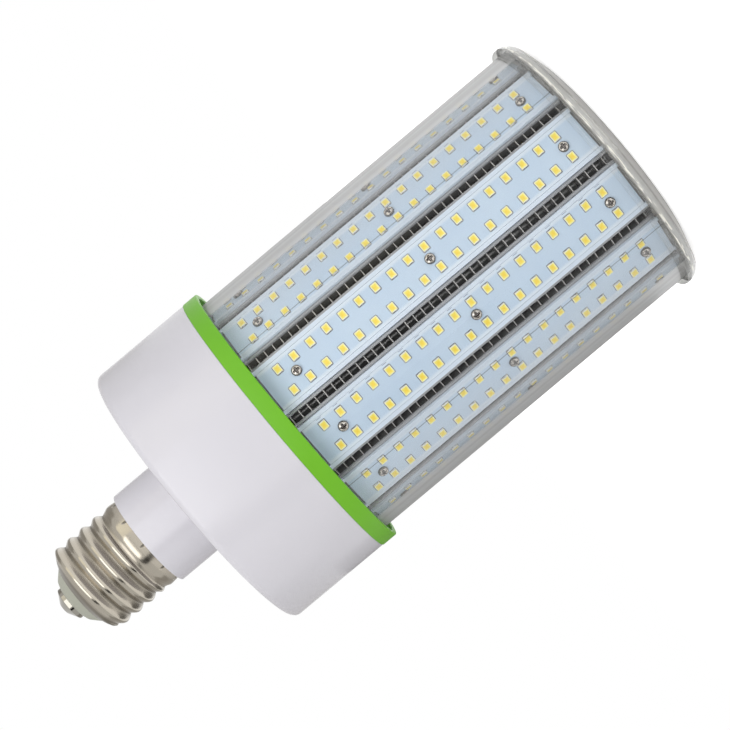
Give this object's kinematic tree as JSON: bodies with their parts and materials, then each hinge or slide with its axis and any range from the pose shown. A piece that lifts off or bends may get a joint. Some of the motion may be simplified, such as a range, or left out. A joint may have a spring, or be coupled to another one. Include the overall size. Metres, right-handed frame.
{
  "type": "corn led bulb",
  "caption": "Corn lamp with a large Edison screw base: LED boards round a finned core in a clear tube, with a green collar and a white drum-shaped driver housing.",
  "frame": {"origin": "centre of the end cap's flat outer face, which the lamp stands on", "axes": "+Z along the lamp's axis, from the end cap towards the screw base; +X through a slot between two LED boards"},
  "size_m": [0.121, 0.121, 0.2759],
  "materials": {
    "clear_cap": "clear plastic, moulded, slightly grey at the edge",
    "clear_tube": "clear plastic tube, extruded",
    "green_plastic": "smooth moulded green",
    "white_plastic": "smooth moulded white, faintly lavender",
    "nickel_plate": "nickel plate, rolled sheet",
    "insulator": "grey-green moulded insulator",
    "contact_metal": "bright pressed metal",
    "plate_aluminium": "brushed sheet",
    "bolt_steel": "zinc plated",
    "fin_aluminium": "stamped sheet",
    "bar_aluminium": "satin extrusion",
    "led_board": "white solder mask with a cool tint",
    "led_package": "yellow phosphor in a pale body",
    "screw_steel": "plated pan head",
    "driver_board": "green laminate",
    "ferrite": "dark ferrite",
    "capacitor_sleeve": "dark sleeve",
    "lead_insulation": "plain insulation"
  },
  "bodies": {
    "root": {"end_cap": "clear_cap", "cover_tube": "clear_tube", "collar_ring": "green_plastic", "driver_housing": "white_plastic", "screw_shell": "nickel_plate", "base_insulator": "insulator", "contact_button": "contact_metal", "end_plate": "plate_aluminium", "base_plate": "plate_aluminium", "tie_bolts": "bolt_steel", "cooling_fins": "fin_aluminium", "board_screws": "screw_steel", "core_liner": "plate_aluminium", "driver_board": "driver_board", "driver_standoffs": "bolt_steel", "driver_transformer": "ferrite", "driver_capacitors": "capacitor_sleeve", "driver_choke": "ferrite", "live_lead": "lead_insulation", "neutral_lead": "lead_insulation", "heat_sink_bar_01": "bar_aluminium", "heat_sink_bar_02": "bar_aluminium", "heat_sink_bar_03": "bar_aluminium", "heat_sink_bar_04": "bar_aluminium", "heat_sink_bar_05": "bar_aluminium", "heat_sink_bar_06": "bar_aluminium", "heat_sink_bar_07": "bar_aluminium", "heat_sink_bar_08": "bar_aluminium", "heat_sink_bar_09": "bar_aluminium", "heat_sink_bar_10": "bar_aluminium", "heat_sink_bar_11": "bar_aluminium", "heat_sink_bar_12": "bar_aluminium", "led_board_01": "led_board", "led_board_02": "led_board", "led_board_03": "led_board", "led_board_04": "led_board", "led_board_05": "led_board", "led_board_06": "led_board", "led_board_07": "led_board", "led_board_08": "led_board", "led_board_09": "led_board", "led_board_10": "led_board", "led_board_11": "led_board", "led_board_12": "led_board", "led_packages_01": "led_package", "led_packages_02": "led_package", "led_packages_03": "led_package", "led_packages_04": "led_package", "led_packages_05": "led_package", "led_packages_06": "led_package", "led_packages_07": "led_package", "led_packages_08": "led_package", "led_packages_09": "led_package", "led_packages_10": "led_package", "led_packages_11": "led_package", "led_packages_12": "led_package"}
  },
  "joints": []
}
